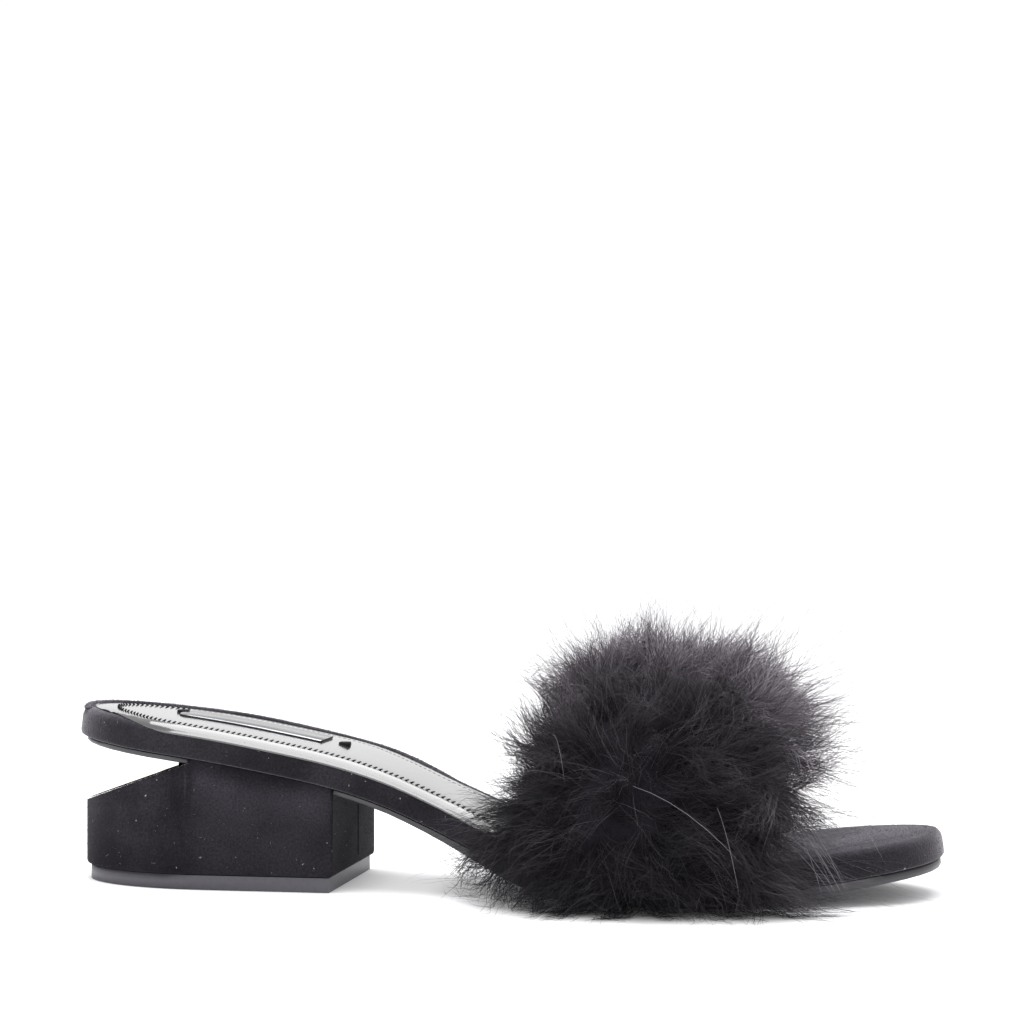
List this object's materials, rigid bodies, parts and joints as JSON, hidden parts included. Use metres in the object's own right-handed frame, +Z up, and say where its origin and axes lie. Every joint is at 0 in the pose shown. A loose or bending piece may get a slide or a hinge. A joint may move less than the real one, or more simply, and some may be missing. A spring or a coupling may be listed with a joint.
{
  "type": "fur slide sandal",
  "caption": "Backless right shoe with a fur-covered strap over the forefoot, a suede-wrapped footbed and a low block heel whose back is cut away in a wedge.",
  "frame": {"origin": "centre of the top piece's resting face under the heel, on the floor", "axes": "+X from heel to toe, +Y to the inner side of this right shoe, +Z up"},
  "size_m": [0.2551, 0.1447, 0.0805],
  "materials": {
    "black_rubber": "smooth dark grey rubber, half gloss",
    "black_suede": "matt suede with a fine nap",
    "mirror_metal": "polished pale metal",
    "edge_leather": "painted and burnished sole edge, glossy",
    "glossy_leather": "smooth glossy leather",
    "label_metal": "satin dark metal",
    "strap_leather": "plain lining leather",
    "black_fur": "long soft fur"
  },
  "bodies": {
    "root": {"top_piece": "black_rubber", "heel_block": "black_suede", "heel_plate": "mirror_metal", "outsole": "edge_leather", "footbed": "black_suede", "insole": "glossy_leather", "label_plate": "label_metal", "upper_strap": "strap_leather", "fur": "black_fur"}
  },
  "joints": []
}
